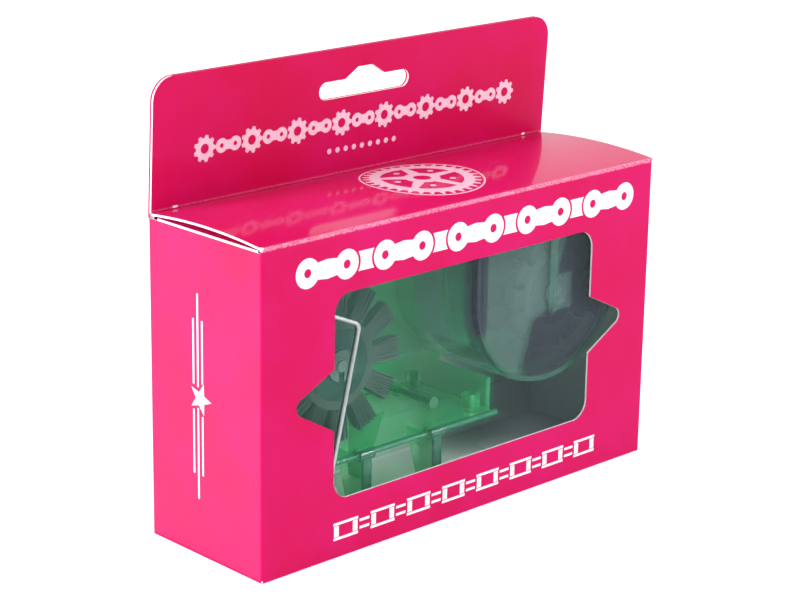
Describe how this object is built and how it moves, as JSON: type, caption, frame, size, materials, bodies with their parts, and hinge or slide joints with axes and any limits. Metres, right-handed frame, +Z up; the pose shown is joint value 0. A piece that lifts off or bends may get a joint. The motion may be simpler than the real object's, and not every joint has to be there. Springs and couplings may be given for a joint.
{
  "type": "bike chain cleaner",
  "caption": "Hands-free bicycle chain cleaner with rotary brushes in a translucent case with a support arm, in a windowed hanging carton with a hinged lid",
  "frame": {"origin": "middle of the carton's bottom", "axes": "+X to the right along the carton's front, the front faces -Y, +Z up through the hanging header"},
  "size_m": [0.14, 0.043, 0.119],
  "materials": {
    "printed_board": "pink print, satin varnish, white core",
    "clear_film": "clear film",
    "green_plastic": "translucent moulded",
    "smoke_plastic": "translucent moulded",
    "black_bristle": "nylon bristle",
    "steel": "bright wire",
    "washer_plastic": "natural acetal",
    "foam": "open-cell foam",
    "black_rubber": "dipped sleeve"
  },
  "bodies": {
    "carton": {"front_panel": "printed_board", "back_panel": "printed_board", "left_panel": "printed_board", "right_panel": "printed_board", "header_ply": "printed_board", "base_panel": "printed_board", "base_flaps": "printed_board", "window_film": "clear_film"},
    "lid": {"lid_panel": "printed_board"},
    "tuck": {"tuck_flap": "printed_board"},
    "flap_left": {"dust_flap_left": "printed_board"},
    "flap_right": {"dust_flap_right": "printed_board"},
    "cleaner": {"case_shell": "green_plastic", "case_tray": "green_plastic", "case_screws": "steel", "hinge_rod": "green_plastic", "axle_pins": "steel", "axle_clips": "steel", "axle_washers": "washer_plastic", "roller_pins": "steel", "wiper_sponge": "foam", "arm_pivot_pin": "steel"},
    "door": {"front_door": "green_plastic"},
    "rotor_a": {"rotor_a_core": "smoke_plastic", "rotor_a_bristles_front": "black_bristle", "rotor_a_bristles_rear": "black_bristle"},
    "rotor_b": {"rotor_b_core": "smoke_plastic", "rotor_b_bristles_front": "black_bristle", "rotor_b_bristles_rear": "black_bristle"},
    "roller_in": {"guide_roller_in": "smoke_plastic"},
    "roller_out": {"guide_roller_out": "smoke_plastic"},
    "arm": {"support_arm": "steel", "arm_sleeve": "black_rubber"}
  },
  "joints": [
    {"name": "lid_crease", "type": "hinge", "parent": "carton", "child": "lid", "pos_m": [0, -0.0215, 0.085], "axis": [1, 0, 0], "range_deg": [0, 120]},
    {"name": "tuck_crease", "type": "hinge", "parent": "lid", "child": "tuck", "pos_m": [0, 0.0194, 0.0844], "axis": [1, 0, 0], "range_deg": [-36, 0]},
    {"name": "left_flap_crease", "type": "hinge", "parent": "carton", "child": "flap_left", "pos_m": [-0.07, 0, 0.0843], "axis": [0, 1, 0], "range_deg": [-30, 0]},
    {"name": "right_flap_crease", "type": "hinge", "parent": "carton", "child": "flap_right", "pos_m": [0.07, 0, 0.0843], "axis": [0, 1, 0], "range_deg": [0, 30]},
    {"name": "cleaner_play", "type": "slide", "parent": "carton", "child": "cleaner", "axis": [1, 0, 0], "range_m": [-0.002, 0.002]},
    {"name": "door_hinge", "type": "hinge", "parent": "cleaner", "child": "door", "pos_m": [0, -0.0155, 0.0225], "axis": [1, 0, 0], "range_deg": [0, 2.5]},
    {"name": "rotor_a_spin", "type": "hinge", "parent": "cleaner", "child": "rotor_a", "pos_m": [-0.0365, 0, 0.0465], "axis": [0, 1, 0], "continuous": true},
    {"name": "rotor_b_spin", "type": "hinge", "parent": "cleaner", "child": "rotor_b", "pos_m": [0.0425, 0, 0.0505], "axis": [0, 1, 0], "continuous": true},
    {"name": "roller_in_spin", "type": "hinge", "parent": "cleaner", "child": "roller_in", "pos_m": [-0.052, 0, 0.0261], "axis": [0, 1, 0], "continuous": true},
    {"name": "roller_out_spin", "type": "hinge", "parent": "cleaner", "child": "roller_out", "pos_m": [0.002, 0, 0.0261], "axis": [0, 1, 0], "continuous": true},
    {"name": "arm_swing", "type": "hinge", "parent": "cleaner", "child": "arm", "pos_m": [-0.0463, -0.0188, 0.0165], "axis": [0, 1, 0], "range_deg": [-8, 75]}
  ],
  "couplings": [
    {"joint": "tuck_crease", "follows": "lid_crease", "ratio": -0.3},
    {"joint": "left_flap_crease", "follows": "lid_crease", "ratio": -0.25},
    {"joint": "right_flap_crease", "follows": "lid_crease", "ratio": 0.25}
  ]
}
